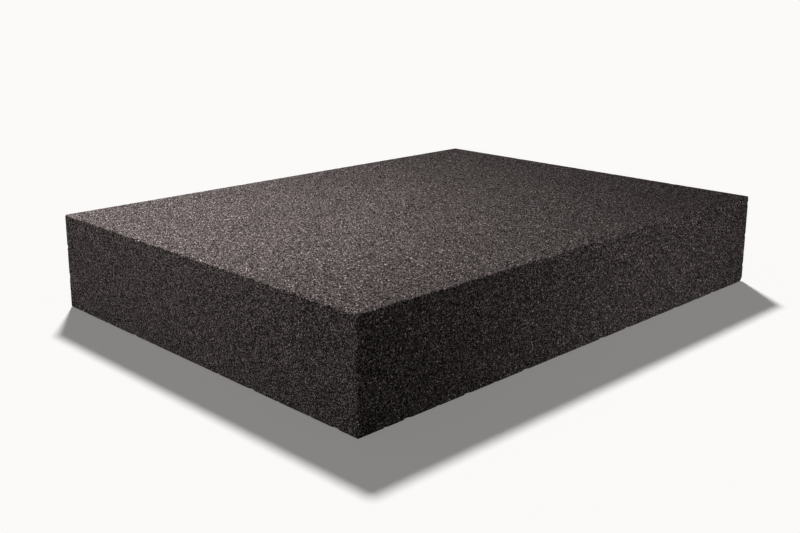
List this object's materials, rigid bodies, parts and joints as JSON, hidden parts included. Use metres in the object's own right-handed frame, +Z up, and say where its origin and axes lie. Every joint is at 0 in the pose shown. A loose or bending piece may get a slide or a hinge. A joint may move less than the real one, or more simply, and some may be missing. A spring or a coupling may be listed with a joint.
{
  "type": "foam glass board",
  "caption": "Rigid rectangular slab of charcoal-grey cellular glass insulation, sawn on all sides, with open cells and lightly crumbled edges and corners.",
  "frame": {"origin": "middle of the lower large face, on the plane that the board lies on", "axes": "+X along the length, +Y along the width, +Z up through the thickness. The worst crumbled corner is the lower one at +X, -Y"},
  "size_m": [0.6, 0.45, 0.1],
  "materials": {
    "cellular_glass": "matte"
  },
  "bodies": {
    "root": {"foam_glass_board": "cellular_glass"}
  },
  "joints": []
}
